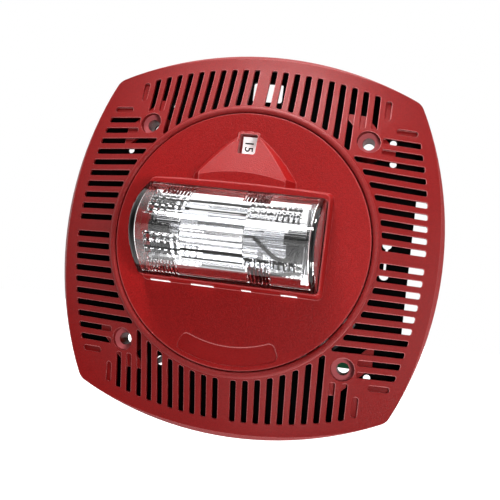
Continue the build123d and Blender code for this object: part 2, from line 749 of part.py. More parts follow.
def strobe_board_fixings():
    """Three screws through the rear cover and the board, and their nuts."""
    head_z = CUP_BOTTOM_Z - REAR_COVER_T
    board_top = STROBE_BOARD_Z + BOARD_T
    screws = [pan_screw(x, y, head_z, board_top + 2.4, *BOARD_SCREW) for x, y in spacer_points()]
    save("strobe_board_screws", *screws)
    nuts = []
    for x, y in spacer_points():
        hexagon = Pos(x, y) * (RegularPolygon(2.6, 6) - Circle(1.2))
        nuts.append(up(hexagon, board_top, board_top + NUT_H))
    save("strobe_board_nuts", *nuts)


def selector_switch():
    """The slide switch that the selector moves: its body on the board, and its wiper."""
    top = STROBE_BOARD_Z + BOARD_T
    left, right = WIPER_X - SELECTOR_TRAVEL - 1.0, WIPER_X + 1.0
    body = box(left - 2.4, right + 2.4, WIPER_Y - 2.6, WIPER_Y + 2.6, top, top + 2.4)
    body -= box(left - 0.4, right + 0.4, WIPER_Y - 1.2, WIPER_Y + 1.2, top + 0.8, top + 3)
    save("selector_switch", body)
    save("selector_wiper", wiper_block(top + 1.2, CARRIER_Z + ARM_T))


def wiper_block(z_low, z_high):
    return Pos(WIPER_X, WIPER_Y, (z_low + z_high) / 2) * Box(2.0, 1.6, z_high - z_low)


def selector_carrier():
    """The sliding strip behind the window, with a thumb tab through the rear cover."""
    left = WINDOW_X - CELL_W / 2 - 0.6
    right = left + CELLS * CELL_W + 1.2
    low_y = WINDOW_Y - CARRIER_H / 2
    strip = box(left, right, low_y, low_y + CARRIER_H, CARRIER_Z, CARRIER_Z + CARRIER_T)
    tab_x = (left + right) / 2
    strip += box(tab_x - 1.5, tab_x + 1.5, WINDOW_Y - 1.2, WINDOW_Y + 1.2, CUP_BOTTOM_Z - 2.6, CARRIER_Z)
    arm_left, arm_right = WIPER_X - ARM_HALF_W, WIPER_X + ARM_HALF_W
    strip += box(arm_left, arm_right, WIPER_Y - 2.0, low_y + 1, CARRIER_Z, CARRIER_Z + ARM_T)
    save("selector_carrier", strip - wiper_block(CARRIER_Z - 1, CARRIER_Z + 2))


def selector_label():
    left = WINDOW_X - CELL_W / 2
    right = left + CELLS * CELL_W
    top = CARRIER_Z + CARRIER_T
    save("selector_label", box(left, right, WINDOW_Y - 4.0, WINDOW_Y + 4.0, top, top + LABEL_T))


# ---------------------------------------------------------------- bridge and mounting frame
def foot_screw_points():
    return around(4, LEG_SCREW_R, 45)


def strobe_bridge():
    """A ring under the strobe cup on four legs."""
    high = CUP_BOTTOM_Z - REAR_COVER_T
    low = high - BRIDGE_T
    ring = tube(BRIDGE_R, BRIDGE_HOLE_R, 0, 0, low, high)
    leg_out = LEG_R + LEG_REACH
    leg = box(BRIDGE_R - LEG_REACH, leg_out, -LEG_W / 2, LEG_W / 2, low, high)
    leg += box(leg_out - LEG_T, leg_out, -LEG_W / 2, LEG_W / 2, FRAME_TOP_Z, high)
    leg += box(LEG_R - LEG_REACH, leg_out, -LEG_W / 2, LEG_W / 2, FRAME_TOP_Z, FRAME_TOP_Z + BRIDGE_T)
    leg -= rod(DRIVER_HOLE_R, LEG_SCREW_R, 0, low - 0.5, high + 0.5)
    bridge = ring + [Rot(0, 0, 45 + quarter * 90) * leg for quarter in range(4)]
    for x, y in cover_screw_points():
        bridge -= rod(1.6, x, y, low - 1, high + 1)
    for x, y in foot_screw_points():
        bridge -= rod(1.4, x, y, 0, FRAME_TOP_Z + BRIDGE_T + 1)
    save("strobe_bridge", bridge)


def bridge_screws():
    head_z = FRAME_TOP_Z + BRIDGE_T
    screws = [pan_screw(x, y, head_z, 0.4, *FRAME_SCREW) for x, y in foot_screw_points()]
    save("bridge_screws", *screws)


def frame_window_sketch():
    return Pos(*FRAME_WINDOW_AT) * RectangleRounded(FRAME_WINDOW_W, FRAME_WINDOW_H, 1.0)


def keyhole_sketch():
    """Two round holes joined by a narrow slit, beside the grille's right-hand slots."""
    ends = Sketch() + [Pos(KEYHOLE_X, way * KEYHOLE_Y) * Circle(KEYHOLE_R) for way in (-1, 1)]
    return ends + Pos(KEYHOLE_X, 0) * Rectangle(KEYHOLE_W, 2 * KEYHOLE_Y)


def frame_holes():
    """Centre and radius of every round hole through the frame's sheet."""
    holes = [((way_x * SCREW_AT, way_y * SCREW_AT), SCREW_HOLE_R)
             for way_x in (-1, 1) for way_y in (-1, 1)]
    holes += [((0, 0), FRAME_HOLE_R), (HARNESS_HOLE, HARNESS_R + 1.0)]
    holes += [(point, FRAME_SCREW[0]) for point in foot_screw_points()]
    holes += [(point, 1.5) for point in speaker_screw_points() + pillar_points()]
    holes += [(point, PEEP_R) for point in PEEPS]
    return holes


def mounting_frame():
    """A stamped sheet that fills the back of the grille, with a low lip round its edge."""
    outline = plate_outline(FRAME_INSET)
    rim = up(outline - plate_outline(FRAME_INSET + FRAME_LIP_T), FRAME_LOW_Z, FRAME_LIP_TOP_Z)
    frame = up(outline, FRAME_LOW_Z, FRAME_TOP_Z) + (rim & dome(PLATE_SKIN + FRAME_GAP))
    frame -= box(SIDE_GAP_X, PLATE_HALF, SIDE_GAP_LOW_Y, SIDE_GAP_HIGH_Y, 0, FRAME_LIP_TOP_Z + 1)
    frame -= up(frame_window_sketch(), 0, FRAME_TOP_Z + 1)
    frame -= up(keyhole_sketch(), 0, FRAME_TOP_Z + 1)
    for point, radius in frame_holes():
        frame -= rod(radius, *point, 0, FRAME_TOP_Z + 1)
    save("mounting_frame", frame)


# ---------------------------------------------------------------- loudspeaker
def speaker_screw_points():
    return around(4, SPEAKER_SCREW_R, 0)


def speaker_basket():
    """A pressed steel basket: flange, windowed bowl, and the seat of the motor."""
    top = FRAME_TOP_Z
    bottom = -BASKET_DEPTH
    bowl = turned([
        (FLANGE_R, top),
        (FLANGE_R, top + FLANGE_T),
        (BASKET_R - BASKET_T, top + FLANGE_T),
        (BASKET_R - BASKET_T, -2),
        (SPIDER_OUT_R + 3.2, SPIDER_Z - 0.6),
        (SPIDER_OUT_R + 1.6, SPIDER_Z - 0.6),
        (SPIDER_OUT_R + 1.2, bottom),
        (MAGNET_BORE_R, bottom),
        (MAGNET_BORE_R, bottom - BASKET_T),
        (SPIDER_OUT_R + 2.2, bottom - BASKET_T),
        (SPIDER_OUT_R + 2.6, SPIDER_Z - 1.8),
        (SPIDER_OUT_R + 3.8, SPIDER_Z - 1.8),
        (BASKET_R, -2.6),
        (BASKET_R, top),
    ])
    inner_r = SPIDER_OUT_R + 7.0
    window = make_face(Polyline(
        (inner_r, -inner_r * 0.30),
        (BASKET_R * 0.9, -BASKET_R * 0.36),
        (BASKET_R * 0.9, BASKET_R * 0.36),
        (inner_r, inner_r * 0.30),
        close=True,
    ))
    hole = up(window, -20, -3)
    for i in range(BASKET_WINDOWS):
        bowl -= Rot(0, 0, 30 + i * 360 / BASKET_WINDOWS) * hole
    for x, y in speaker_screw_points():
        bowl -= rod(1.7, x, y, top - 1, top + FLANGE_T + 1)
    save("speaker_basket", bowl)


def speaker_gasket():
    low = FRAME_TOP_Z + FLANGE_T
    ring = tube(FLANGE_R - 0.3, SURROUND_OUT_R + 0.2, 0, 0, low, low + 1.6)
    for x, y in speaker_screw_points():
        ring -= rod(1.7, x, y, low - 1, low + 3)
    save("speaker_gasket", ring)


def speaker_screws():
    head_z = FRAME_TOP_Z + FLANGE_T + 1.6
    screws = [pan_screw(x, y, head_z, -4, *SPEAKER_SCREW) for x, y in speaker_screw_points()]
    save("speaker_screws", *screws)


def speaker_nuts():
    nuts = []
    for x, y in speaker_screw_points():
        hexagon = Pos(x, y) * (RegularPolygon(2.9, 6) - Circle(1.45))
        nuts.append(up(hexagon, FRAME_LOW_Z - 2.2, FRAME_LOW_Z))
    save("speaker_nuts", *nuts)


def speaker_surround():
    """The half-roll edge between the cone and the basket."""
    low = FRAME_TOP_Z + FLANGE_T - 0.1
    mid = (SURROUND_IN_R + SURROUND_OUT_R - 1.4) / 2
    half = (SURROUND_OUT_R - 1.4 - SURROUND_IN_R) / 2 - 0.2
    section = turned([
        (SURROUND_IN_R - 1.0, low - 1.0),
        (SURROUND_IN_R + 0.4, low - 1.0),
        (mid - half + 0.6, low + SURROUND_ROLL_H * 0.5),
        (mid, low + SURROUND_ROLL_H - 0.6),
        (mid + half - 0.6, low + SURROUND_ROLL_H * 0.5),
        (mid + half, low + 0.1),
        (BASKET_R - BASKET_T, low + 0.1),
        (SURROUND_OUT_R, low + 0.1),
        (SURROUND_OUT_R, low + 0.6),
        (mid + half + 0.5, low + 0.6),
        (mid + half, low + SURROUND_ROLL_H * 0.7),
        (mid, low + SURROUND_ROLL_H),
        (mid - half, low + SURROUND_ROLL_H * 0.7),
        (SURROUND_IN_R - 0.1, low - 0.5),
        (SURROUND_IN_R - 1.0, low - 0.5),
    ])
    save("speaker_surround", section)


def cone_line(radius):
    """Height of the cone's front at a radius."""
    share = (radius - CONE_NECK_R) / (SURROUND_IN_R - CONE_NECK_R)
    return CONE_BOTTOM_Z + (CONE_TOP_Z - CONE_BOTTOM_Z) * share**0.8


def speaker_cone():
    steps = 6
    radii = [CONE_NECK_R + i * (SURROUND_IN_R - 1.2 - CONE_NECK_R) / steps for i in range(steps + 1)]
    front = [(r, cone_line(r)) for r in radii]
    rim = [(SURROUND_IN_R - 1.1, CONE_TOP_Z), (SURROUND_IN_R - 1.1, CONE_TOP_Z - CONE_T)]
    back = [(r, cone_line(r) - CONE_T * 1.3) for r in reversed(radii)]
    save("speaker_cone", turned(front + rim + back))


def dust_cap():
    """A shallow dome over the voice coil."""
    rim_r = CONE_NECK_R + 1.4
    rim_z = cone_line(rim_r) + 0.05
    dome_h = 4.0
    steps = 5
    crest = []
    for i in range(steps + 1):
        lean = i / steps
        crest.append((rim_r * sin(lean * pi / 2), rim_z + dome_h * cos(lean * pi / 2)))
    under = [(r * (1 - CONE_T / rim_r), z - CONE_T * (1 - r / rim_r)) for r, z in reversed(crest)]
    save("dust_cap", turned(crest + under))


def voice_coil():
    former = tube(COIL_R, COIL_R - COIL_T, 0, 0, FORMER_BOTTOM_Z, CONE_BOTTOM_Z + 0.2)
    former += tube(CONE_NECK_R, COIL_R, 0, 0, CONE_BOTTOM_Z - 0.4, CONE_BOTTOM_Z)
    save("coil_former", former)
    winding = tube(COIL_R + COIL_T, COIL_R, 0, 0, FORMER_BOTTOM_Z + 0.3, FORMER_BOTTOM_Z + 5.0)
    save("voice_coil", winding)


def speaker_spider():
    """The corrugated disc that centres the voice coil."""
    waves = 4
    inner = COIL_R + 0.02
    step = (SPIDER_OUT_R + 1.0 - inner) / (2 * waves)
    crest = [(inner + i * step, SPIDER_Z + (0.7 if i % 2 else 0.0)) for i in range(2 * waves + 1)]
    under = [(r, z - 0.4) for r, z in reversed(crest)]
    save("speaker_spider", turned(crest + under))


def motor():
    plate_top = -BASKET_DEPTH - BASKET_T
    plate_low = plate_top - TOP_PLATE_T
    magnet_low = plate_low - MAGNET_T
    back_low = magnet_low - BACK_PLATE_T
    gap_r = COIL_R + COIL_T + GAP_CLEAR
    pole_r = COIL_R - COIL_T - GAP_CLEAR
    save("front_pole_plate", tube(TOP_PLATE_R, gap_r, 0, 0, plate_low, plate_top))
    save("ring_magnet", tube(MAGNET_R, MAGNET_BORE_R, 0, 0, magnet_low, plate_low))
    yoke = rod(TOP_PLATE_R, 0, 0, back_low, magnet_low) + rod(pole_r, 0, 0, magnet_low, plate_top)
    yoke -= rod(2.0, 0, 0, back_low - 1, plate_top + 1)
    save("pole_yoke", yoke)


def terminal_strip():
    """The loudspeaker's fibre strip with two solder tabs."""
    strip = box(BASKET_R, BASKET_R + 0.7, -6, 6, -4.6, -0.2)
    tabs = []
    for way in (-1, 1):
        tab = box(BASKET_R + 0.7, BASKET_R + 1.1, way * 3 - 1.2, way * 3 + 1.2, -9.5, -1.0)
        tabs.append(Rot(0, 0, STRIP_DEG) * tab)
    save("speaker_terminals", Rot(0, 0, STRIP_DEG) * strip, *tabs)


def wire(points, radius, bend):
    """A round wire along straight runs joined by arcs."""
    route = FilletPolyline(*points, radius=bend)
    return sweep(Plane(route @ 0, z_dir=route % 0) * Circle(radius), path=route)


def speaker_leads():
    """Two short leads from the solder tabs to the audio board."""
    angle = radians(STRIP_DEG)
    leads = []
    for way in (-1, 1):
        x = (BASKET_R + 0.9) * cos(angle) - way * 3 * sin(angle)
        y = (BASKET_R + 0.9) * sin(angle) + way * 3 * cos(angle)
        end_x, end_y = x + 1.5, y - 1.5
        points = [(x, y, -9.5), (x, y, -13.5), (end_x, end_y, -18.5), (end_x, end_y, AUDIO_BOARD_Z)]
        leads.append(wire(points, 0.5, 2.0))
    save("speaker_leads", *leads)


# ---------------------------------------------------------------- audio board
def pillar_points():
    return [(way * x, y) for way in (-1, 1) for x, y in PILLAR_AT]


def audio_board():
    mid_y = (AUDIO_LOW_Y + AUDIO_HIGH_Y) / 2
    board = Pos(0, mid_y) * RectangleRounded(2 * AUDIO_HALF_X, AUDIO_HIGH_Y - AUDIO_LOW_Y, 2)
    for x, y in pillar_points():
        board -= Pos(x, y) * Circle(1.6)
    save("audio_board", up(board, AUDIO_BOARD_Z - BOARD_T, AUDIO_BOARD_Z))


def board_pillars():
    pillars = []
    for x, y in pillar_points():
        post = up(Pos(x, y) * RegularPolygon(PILLAR_R, 6), AUDIO_BOARD_Z, FRAME_LOW_Z)
        post += rod(1.4, x, y, FRAME_LOW_Z, FRAME_TOP_Z + 1.0)
        post -= rod(1.25, x, y, AUDIO_BOARD_Z - 1, AUDIO_BOARD_Z + 7)
        pillars.append(post)
    save("board_pillars", *pillars)


def pillar_nuts():
    nuts = []
    for x, y in pillar_points():
        hexagon = Pos(x, y) * (RegularPolygon(2.7, 6) - Circle(1.4))
        nuts.append(up(hexagon, FRAME_TOP_Z, FRAME_TOP_Z + NUT_H))
    save("pillar_nuts", *nuts)


def board_screws():
    head_z = AUDIO_BOARD_Z - BOARD_T
    screws = [pan_screw(x, y, head_z, head_z + 7, *BOARD_SCREW) for x, y in pillar_points()]
    save("board_screws", *screws)


def line_transformer():
    """A small E-core transformer: laminated core, bobbin and winding."""
    x, y = -14.0, -35.2
    top = AUDIO_BOARD_Z - BOARD_T
    low = top - 17.0
    core = box(x - 11, x + 11, y - 6.5, y + 6.5, low + 1, top - 1.5)
    windows = Part()
    for way in (-1, 1):
        windows += box(x + way * 6 - 2.5, x + way * 6 + 2.5, y - 7, y + 7, low + 4, top - 4.5)
    save("transformer_core", core - windows)
    cheeks = Part()
    bore = box(x - 3.5, x + 3.5, y - 6.5, y + 6.5, low, top)
    for z_low in (low + 4.1, top - 5.6):
        cheeks += box(x - 8.4, x + 8.4, y - 9.5, y + 9.5, z_low, z_low + 1.0) - bore
    sleeve = box(x - 4.3, x + 4.3, y - 7.4, y + 7.4, low + 4.1, top - 4.6) - bore
    coil = box(x - 8.2, x + 8.2, y - 9.2, y + 9.2, low + 5.1, top - 5.6)
    coil -= box(x - 4.3, x + 4.3, y - 7.4, y + 7.4, low, top)
    save("transformer_winding", coil)
    pins = [rod(0.4, x + dx, y + dy, top - 4.6, top) for dx in (-7, 7) for dy in (-8, 0, 8) if dy]
    save("transformer_bobbin", cheeks + sleeve, *pins)


def blocking_capacitor():
    top = AUDIO_BOARD_Z - BOARD_T
    can = rod(4.0, 28.5, -30.5, top - 12, top)
    groove = tube(5.0, 3.6, 28.5, -30.5, top - 2.2, top - 1.4)
    save("blocking_capacitor", can - groove)


def terminal_block():
    """Four wire cages for the speaker line, in and out, and its screws."""
    top = AUDIO_BOARD_Z - BOARD_T
    pitch = 5.08
    count = 4
    left = 6.0
    low_y, high_y = -45.4, -38.2
    body = box(left, left + count * pitch, low_y, high_y, top - 10, top)
    screws = []
    clamps = []
    for i in range(count):
        x = left + (i + 0.5) * pitch
        y = low_y + 3.4
        body -= box(x - 1.9, x + 1.9, low_y - 1, low_y + 5.6, top - 5.2, top - 1.4)
        body -= rod(1.8, x, y, top - 11, top - 5.0)
        clamp = box(x - 1.8, x + 1.8, low_y + 1.0, low_y + 5.5, top - 5.1, top - 4.2)
        clamp += box(x - 1.8, x + 1.8, low_y + 1.0, low_y + 5.5, top - 2.2, top - 1.5)
        clamps.append(clamp - rod(1.3, x, y, top - 6, top - 4))
        screws.append(pan_screw(x, y, top - 6.2, top - 3.4, *CLAMP_SCREW))
    save("terminal_block", body)
    save("terminal_clamps", *[solid for clamp in clamps for solid in clamp.solids()])
    save("terminal_screws", *screws)


def power_tap_switch():
    """The rotary selector for the loudspeaker's power."""
    x, y = KNOB_AT
    top = AUDIO_BOARD_Z - BOARD_T
    body = box(x - 6, x + 6, y - 5.0, y + 5.0, top - 5, top)
    body -= rod(2.05, x, y, top - 6, top - 1)
    save("power_tap_body", body)
    knob = rod(2.0, x, y, top - 5.3, top - 1.4) + rod(KNOB_R - 0.4, x, y, top - 8.8, top - 5.3)
    knob -= box(x - 0.5, x + 0.5, y - KNOB_R, y + KNOB_R * 0.8, top - 9, top - 7.6)
    knob += box(x - 0.8, x + 0.8, y + KNOB_R - 1, y + KNOB_R + 0.4, top - 8.8, top - 5.3)
    save("power_tap_knob", knob)


def voltage_switch():
    """The slide switch for the line voltage."""
    x, y = VOLT_AT
    top = AUDIO_BOARD_Z - BOARD_T
    body = box(x - 4.5, x + 4.5, y - 2.8, y + 2.8, top - 5, top)
    body -= box(x - 3.4, x + 3.4, y - 1.4, y + 1.4, top - 6, top - 1.2)
    save("voltage_switch_body", body)
    left = x - VOLT_TRAVEL / 2 - 1.5
    slider = box(left, left + 3.0, y - 1.0, y + 1.0, top - 7.5, top - 1.5)
    save("voltage_slider", slider)


def audio_header():
    """The header on the audio board that the strobe harness joins."""
    save("audio_header", box(-42, -32, -37.8, -33, AUDIO_BOARD_Z - BOARD_T - 6, AUDIO_BOARD_Z - BOARD_T))


def strobe_harness():
    """The cable between the two boards, past the loudspeaker's edge, with a plug at each end."""
    header_z = STROBE_BOARD_Z - HEADER_H
    plug_z = AUDIO_BOARD_Z - BOARD_T - 6
    run_z = header_z - 1.0
    hole_x, hole_y = HARNESS_HOLE
    plugs = [
        box(-6.4, 6.4, -33.0, -29.0, header_z - 2.4, header_z),
        box(-41.4, -32.6, -37.4, -33.4, plug_z - 3.0, plug_z),
    ]
    points = [
        (-6.4, -31.0, run_z),
        (-12.0, -36.0, run_z),
        (-24.0, -48.5, run_z),
        (hole_x, hole_y, run_z),
        (hole_x, hole_y, plug_z + 2),
        (hole_x - 2, hole_y + 4, plug_z - 8),
        (-37.0, -41.0, plug_z - 10),
        (-37.0, -35.4, plug_z - 8),
        (-37.0, -35.4, plug_z - 3.0),
    ]
    save("strobe_harness", wire(points, HARNESS_R, 2.2), *plugs)


# ---------------------------------------------------------------- build
os.makedirs("parts", exist_ok=True)
grille_plate()
strobe_housing()
rear_cover()
cover_screws()
strobe_lens()
lens_gasket()
reflector()
flash_tube()
tube_boots()
trigger_lead()
strobe_board()
board_rests()
flash_capacitor()
trigger_transformer()
inductor()
power_transistor()
strobe_chips()
strobe_header()
strobe_board_fixings()
selector_switch()
selector_carrier()
selector_label()
strobe_bridge()
bridge_screws()
mounting_frame()
speaker_basket()
speaker_gasket()
speaker_screws()
speaker_nuts()
speaker_surround()
speaker_cone()
dust_cap()
voice_coil()
speaker_spider()
motor()
terminal_strip()
speaker_leads()
audio_board()
board_pillars()
pillar_nuts()
board_screws()
line_transformer()
blocking_capacitor()
terminal_block()
power_tap_switch()
voltage_switch()
audio_header()
strobe_harness()
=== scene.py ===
import json
from math import cos, hypot, pi, radians, sin

import bmesh
import bpy
from mathutils import Euler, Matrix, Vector
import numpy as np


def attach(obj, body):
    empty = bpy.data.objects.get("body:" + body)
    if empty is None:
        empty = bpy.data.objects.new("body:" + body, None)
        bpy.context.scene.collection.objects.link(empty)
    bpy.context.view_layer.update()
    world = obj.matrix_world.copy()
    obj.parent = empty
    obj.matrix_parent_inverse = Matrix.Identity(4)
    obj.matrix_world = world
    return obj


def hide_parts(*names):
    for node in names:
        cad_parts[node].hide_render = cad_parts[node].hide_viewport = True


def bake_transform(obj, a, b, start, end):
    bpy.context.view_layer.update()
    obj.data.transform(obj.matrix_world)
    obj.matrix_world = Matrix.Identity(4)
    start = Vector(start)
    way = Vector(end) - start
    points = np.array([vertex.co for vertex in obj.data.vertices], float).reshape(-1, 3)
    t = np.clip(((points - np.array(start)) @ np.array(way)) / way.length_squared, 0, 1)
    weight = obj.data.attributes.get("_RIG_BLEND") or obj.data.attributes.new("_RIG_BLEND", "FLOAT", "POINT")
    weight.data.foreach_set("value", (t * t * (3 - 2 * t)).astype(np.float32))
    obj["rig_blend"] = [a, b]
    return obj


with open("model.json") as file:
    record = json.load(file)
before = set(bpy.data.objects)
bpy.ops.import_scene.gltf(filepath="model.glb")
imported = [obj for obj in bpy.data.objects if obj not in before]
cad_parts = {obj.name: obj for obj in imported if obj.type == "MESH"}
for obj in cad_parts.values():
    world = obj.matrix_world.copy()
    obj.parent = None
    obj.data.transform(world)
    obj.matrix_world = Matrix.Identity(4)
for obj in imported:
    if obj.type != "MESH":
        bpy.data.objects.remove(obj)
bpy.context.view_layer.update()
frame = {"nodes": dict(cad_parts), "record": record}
nodes = frame["nodes"]
MM = 0.001

# ---------------------------------------------------------------- camera
CAMERA_AT = (0.05489, -0.31400, -0.02036)
CAMERA_TURN = (93.311, -7.11, 9.41)
CAMERA_LENS = 51.856
SENSOR = 36.0
CLIP_NEAR = 0.01
CLIP_FAR = 50.0


def add_camera():
    data = bpy.data.cameras.new("camera")
    data.sensor_width = SENSOR
    data.lens = CAMERA_LENS
    data.clip_start = CLIP_NEAR
    data.clip_end = CLIP_FAR
    camera = bpy.data.objects.new("camera", data)
    camera.location = CAMERA_AT
    camera.rotation_euler = Euler([radians(a) for a in CAMERA_TURN], "XYZ")
    bpy.context.scene.collection.objects.link(camera)
    bpy.context.scene.camera = camera


# ---------------------------------------------------------------- stage and light
FLOOR_Z = -0.9
FLOOR_SIZE = 40.0
FLOOR_GLOW = 0.8
# the room's brightness on the camera's side and behind the object, and where it changes along Y
ROOM_DARK = 0.15
ROOM_LIGHT = 1.0
ROOM_FROM_Y = -0.9
ROOM_TO_Y = 0.1
LIGHT_TARGET = (0, -0.02, 0)
# name, place and width in metres, power in watts
LIGHTS = (
    ("key", (-0.20, -0.64, 0.87), 0.35, 9.3),
    ("front", (0.55, -0.90, -0.10), 0.30, 6.6),
    ("top", (0.10, -0.06, 1.00), 0.30, 12.0),
    ("low_rim", (0.26, -0.10, -0.80), 0.25, 3.5),
    ("edge", (0.62, 0.36, -0.56), 0.35, 10.0),
)


def add_floor():
    """A pale floor that the object doesn't mirror."""
    bpy.ops.mesh.primitive_plane_add(size=FLOOR_SIZE, location=(0, 0, FLOOR_Z))
    floor = bpy.context.object
    floor.name = "floor"
    paint = shader("floor_paint", (0.9, 0.9, 0.9), 0.9, specular=0.0)
    bsdf = paint.node_tree.nodes["Principled BSDF"]
    bsdf.inputs["Emission Color"].default_value = (1, 1, 1, 1)
    bsdf.inputs["Emission Strength"].default_value = FLOOR_GLOW
    floor.data.materials.append(paint)
    floor.visible_diffuse = False
    floor.visible_glossy = False


def area_light(name, at, size, power):
    """A white round lamp that points at the object."""
    data = bpy.data.lights.new(name, "AREA")
    data.shape = "DISK"
    data.size = size
    data.energy = power
    lamp = bpy.data.objects.new(name, data)
    lamp.location = at
    lamp.rotation_euler = (Vector(LIGHT_TARGET) - Vector(at)).to_track_quat("-Z", "Y").to_euler()
    lamp.visible_camera = False
    bpy.context.scene.collection.objects.link(lamp)


def add_world():
    """A white sweep behind the object and a dim room on the camera's side."""
    world = bpy.data.worlds.new("studio")
    bpy.context.scene.world = world
    world.use_nodes = True
    tree = world.node_tree
    back = tree.nodes["Background"]
    back.inputs["Color"].default_value = (1, 1, 1, 1)
    place = tree.nodes.new("ShaderNodeTexCoord")
    split = tree.nodes.new("ShaderNodeSeparateXYZ")
    ramp = tree.nodes.new("ShaderNodeMapRange")
    ramp.inputs["From Min"].default_value = ROOM_FROM_Y
    ramp.inputs["From Max"].default_value = ROOM_TO_Y
    ramp.inputs["To Min"].default_value = ROOM_DARK
    ramp.inputs["To Max"].default_value = ROOM_LIGHT
    tree.links.new(place.outputs["Generated"], split.inputs["Vector"])
    tree.links.new(split.outputs["Y"], ramp.inputs["Value"])
    tree.links.new(ramp.outputs["Result"], back.inputs["Strength"])


def add_lights():
    add_world()
    for name, at, size, power in LIGHTS:
        area_light(name, at, size, power)


# ---------------------------------------------------------------- materials
def shader(name, colour, roughness, metallic=0.0, specular=0.5, **extra):
    """A material with one Principled shader; extra sets that shader's other inputs."""
    material = bpy.data.materials.new(name)
    material.use_nodes = True
    bsdf = material.node_tree.nodes["Principled BSDF"]
    bsdf.inputs["Base Color"].default_value = (*colour, 1)
    bsdf.inputs["Roughness"].default_value = roughness
    bsdf.inputs["Metallic"].default_value = metallic
    bsdf.inputs["Specular IOR Level"].default_value = specular
    for key, value in extra.items():
        bsdf.inputs[key.replace("_", " ")].default_value = value
    return material


def add_node(material, kind, **inputs):
    node = material.node_tree.nodes.new(kind)
    for key, value in inputs.items():
        node.inputs[key].default_value = value
    return node


# painted highlight: rounded edges that turn towards EDGE_LIGHT_FROM, at the lower left, are mixed towards a
# pale red, as if a lamp there lit them
EDGE_LIGHT_FROM = (-0.62, 0.0, -0.78)
EDGE_HIGHLIGHT_COLOUR = (0.85, 0.30, 0.30)
EDGE_HIGHLIGHT_GAIN = 2.2
EDGE_SOFTENING = 0.00045
GRAIN_SCALE = 2600.0
GRAIN_BUMP = 0.8
GRAIN_DEPTH = 0.0002
BLACK_GRAIN_SCALE = 900.0
BLACK_GRAIN_BUMP = 0.2
BLACK_GRAIN_DEPTH = 0.0001
# the noise in every grain, and the parts of its range that are all dark and all light
NOISE_DETAIL = 2.0
NOISE_ROUGHNESS = 0.6
NOISE_DARK = 0.35
NOISE_LIGHT = 0.65
BEVEL_SAMPLES = 4
# positions of the colour sockets on a mix node
MIX_A = 6
MIX_B = 7
MIX_RESULT = 2


def painted_edge_highlight(material, soft, colour):
    """Painted highlight: paler rounded edges of a moulding where they turn towards the lower left, as if lit
    from there.
    """
    links = material.node_tree.links
    shape = add_node(material, "ShaderNodeNewGeometry")
    turn = add_node(material, "ShaderNodeVectorMath")
    turn.operation = "SUBTRACT"
    links.new(soft.outputs["Normal"], turn.inputs[0])
    links.new(shape.outputs["Normal"], turn.inputs[1])
    share = add_node(material, "ShaderNodeVectorMath")
    share.operation = "DOT_PRODUCT"
    share.inputs[1].default_value = EDGE_LIGHT_FROM
    links.new(turn.outputs["Vector"], share.inputs[0])
    gain = add_node(material, "ShaderNodeMath")
    gain.operation = "MULTIPLY"
    gain.use_clamp = True
    gain.inputs[1].default_value = EDGE_HIGHLIGHT_GAIN
    links.new(share.outputs["Value"], gain.inputs[0])
    mix = add_node(material, "ShaderNodeMix")
    mix.data_type = "RGBA"
    links.new(gain.outputs["Value"], mix.inputs["Factor"])
    links.new(colour, mix.inputs[MIX_A])
    mix.inputs[MIX_B].default_value = (*EDGE_HIGHLIGHT_COLOUR, 1)
    bsdf = material.node_tree.nodes["Principled BSDF"]
    links.new(mix.outputs[MIX_RESULT], bsdf.inputs["Base Color"])


def grain(material, scale, dark, light, bump, depth, edge=0.0):
    """Fine noise in a material's colour and height, in object space. edge softens its corners and paints a
    highlight on the ones that turn towards the lower left.
    """
    links = material.node_tree.links
    bsdf = material.node_tree.nodes["Principled BSDF"]
    place = add_node(material, "ShaderNodeTexCoord")
    noise = add_node(material, "ShaderNodeTexNoise",
                     Scale=scale, Detail=NOISE_DETAIL, Roughness=NOISE_ROUGHNESS)
    links.new(place.outputs["Object"], noise.inputs["Vector"])
    ramp = add_node(material, "ShaderNodeValToRGB")
    ramp.color_ramp.elements[0].position = NOISE_DARK
    ramp.color_ramp.elements[0].color = (*dark, 1)
    ramp.color_ramp.elements[1].position = NOISE_LIGHT
    ramp.color_ramp.elements[1].color = (*light, 1)
    links.new(noise.outputs["Fac"], ramp.inputs["Fac"])
    links.new(ramp.outputs["Color"], bsdf.inputs["Base Color"])
    height = add_node(material, "ShaderNodeBump", Strength=bump, Distance=depth)
    links.new(noise.outputs["Fac"], height.inputs["Height"])
    if edge:
        soft = add_node(material, "ShaderNodeBevel", Radius=edge)
        soft.samples = BEVEL_SAMPLES
        links.new(soft.outputs["Normal"], height.inputs["Normal"])
        painted_edge_highlight(material, soft, ramp.outputs["Color"])
    links.new(height.outputs["Normal"], bsdf.inputs["Normal"])
    return material


def moulded_red(name, colour, roughness, dark, light):
    """Red plastic whose fine moulded grain runs from dark to light, with a painted highlight on its softened
    edges.
    """
    material = shader(name, colour, roughness, specular=0.20)
    return grain(material, GRAIN_SCALE, dark, light, GRAIN_BUMP, GRAIN_DEPTH, EDGE_SOFTENING)


def glass(name, colour, roughness, ior):
    material = shader(name, colour, roughness)
    bsdf = material.node_tree.nodes["Principled BSDF"]
    bsdf.inputs["Transmission Weight"].default_value = 1.0
    bsdf.inputs["IOR"].default_value = ior
    return material


